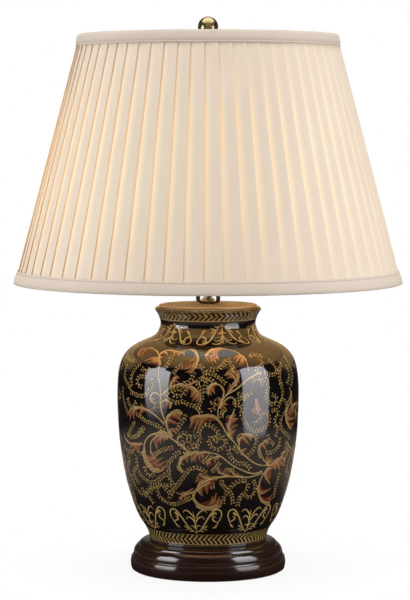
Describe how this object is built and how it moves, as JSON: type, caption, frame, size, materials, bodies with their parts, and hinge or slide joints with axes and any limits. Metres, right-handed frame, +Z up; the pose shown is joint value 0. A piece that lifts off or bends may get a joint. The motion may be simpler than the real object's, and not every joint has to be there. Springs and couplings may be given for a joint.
{
  "type": "table lamp",
  "caption": "Jar table lamp on a turned wooden base, with a painted black jar, lampholder, bulb, harp, knife-pleated tapered shade and a screw-on domed finial.",
  "frame": {"origin": "centre of the felt's resting face on the table", "axes": "+Z up the lamp's axis; +Y the back, where the lead leaves the base; -Y the front; +X right seen from the front"},
  "size_m": [0.4329, 0.433, 0.6177],
  "materials": {
    "felt": "green baize",
    "mahogany": "dark red-brown stain under gloss lacquer",
    "black_plastic": "moulded",
    "zinc_steel": "zinc plated",
    "black_rubber": "matt",
    "black_glaze": "black glazed earthenware with gold and russet painting",
    "antique_brass": "spun, satin gold lacquer",
    "dark_brass": "dark bronzed",
    "brass": "polished and lacquered",
    "liner_card": "pressed insulating card",
    "nickel": "nickel plated",
    "black_glass": "black vitrite",
    "bulb_glass": "inside frosted",
    "clear_glass": "clear",
    "filament": "tungsten, lit",
    "shade_lining": "stiff white backing sheet",
    "pleated_cloth": "ivory cloth in pressed knife pleats",
    "edge_tape": "ivory ribbed tape",
    "white_wire": "white enamel"
  },
  "bodies": {
    "lamp": {"base_felt": "felt", "wooden_base": "mahogany", "lead_gland": "black_plastic", "clamp_washer": "zinc_steel", "clamp_nut": "zinc_steel", "threaded_tube": "zinc_steel", "foot_gasket": "black_rubber", "jar": "black_glaze", "jar_cap": "antique_brass", "cap_washer": "black_rubber", "harp_saddle": "dark_brass", "saddle_nut": "dark_brass", "holder_cap": "brass", "holder_grub_screw": "zinc_steel", "holder_shell": "brass", "holder_core": "black_plastic", "holder_liner": "liner_card", "holder_screw_shell": "nickel", "holder_contact": "brass", "terminal_left": "brass", "terminal_right": "zinc_steel"},
    "switch": {"switch_bar": "nickel", "switch_knob_front": "black_plastic", "switch_knob_back": "black_plastic"},
    "bulb": {"bulb_contact": "nickel", "bulb_insulator": "black_glass", "bulb_cap": "nickel", "bulb_glass": "bulb_glass", "bulb_mount": "clear_glass", "bulb_wire_left": "nickel", "bulb_wire_right": "nickel", "bulb_filament": "filament"},
    "harp": {"harp_bow": "brass"},
    "sleeve_left": {"harp_sleeve_left": "brass"},
    "sleeve_right": {"harp_sleeve_right": "brass"},
    "stud": {"harp_stud": "brass"},
    "shade": {"shade_spider": "white_wire", "shade_bottom_ring": "white_wire", "shade_lining": "shade_lining", "shade_pleats": "pleated_cloth", "shade_bottom_tape": "edge_tape", "shade_top_tape": "edge_tape"},
    "washer": {"finial_washer": "brass"},
    "finial": {"finial": "brass"}
  },
  "joints": [
    {"name": "switch_push", "type": "slide", "parent": "lamp", "child": "switch", "axis": [0, 1, 0], "range_m": [-0.006, 0]},
    {"name": "bulb_lift", "type": "slide", "parent": "lamp", "child": "bulb", "axis": [0, 0, 1], "range_m": [0, 0.03]},
    {"name": "harp_lift", "type": "slide", "parent": "lamp", "child": "harp", "axis": [0, 0, 1], "range_m": [0, 0.03]},
    {"name": "sleeve_left_lift", "type": "slide", "parent": "harp", "child": "sleeve_left", "axis": [0, 0, 1], "range_m": [0, 0.015]},
    {"name": "sleeve_right_lift", "type": "slide", "parent": "harp", "child": "sleeve_right", "axis": [0, 0, 1], "range_m": [0, 0.015]},
    {"name": "shade_swivel", "type": "hinge", "parent": "harp", "child": "stud", "pos_m": [0, 0, 0.5887], "axis": [0, 0, 1], "continuous": true},
    {"name": "shade_lift", "type": "slide", "parent": "stud", "child": "shade", "axis": [0, 0, 1], "range_m": [0, 0.3]},
    {"name": "finial_turn", "type": "hinge", "parent": "shade", "child": "washer", "pos_m": [0, 0, 0.5934], "axis": [0, 0, 1], "range_deg": [0, 2520]},
    {"name": "finial_rise", "type": "slide", "parent": "washer", "child": "finial", "axis": [0, 0, 1], "range_m": [0, 0.00658]}
  ],
  "couplings": [
    {"joint": "finial_turn", "follows": "finial_rise", "rad_per_m": 6679}
  ]
}
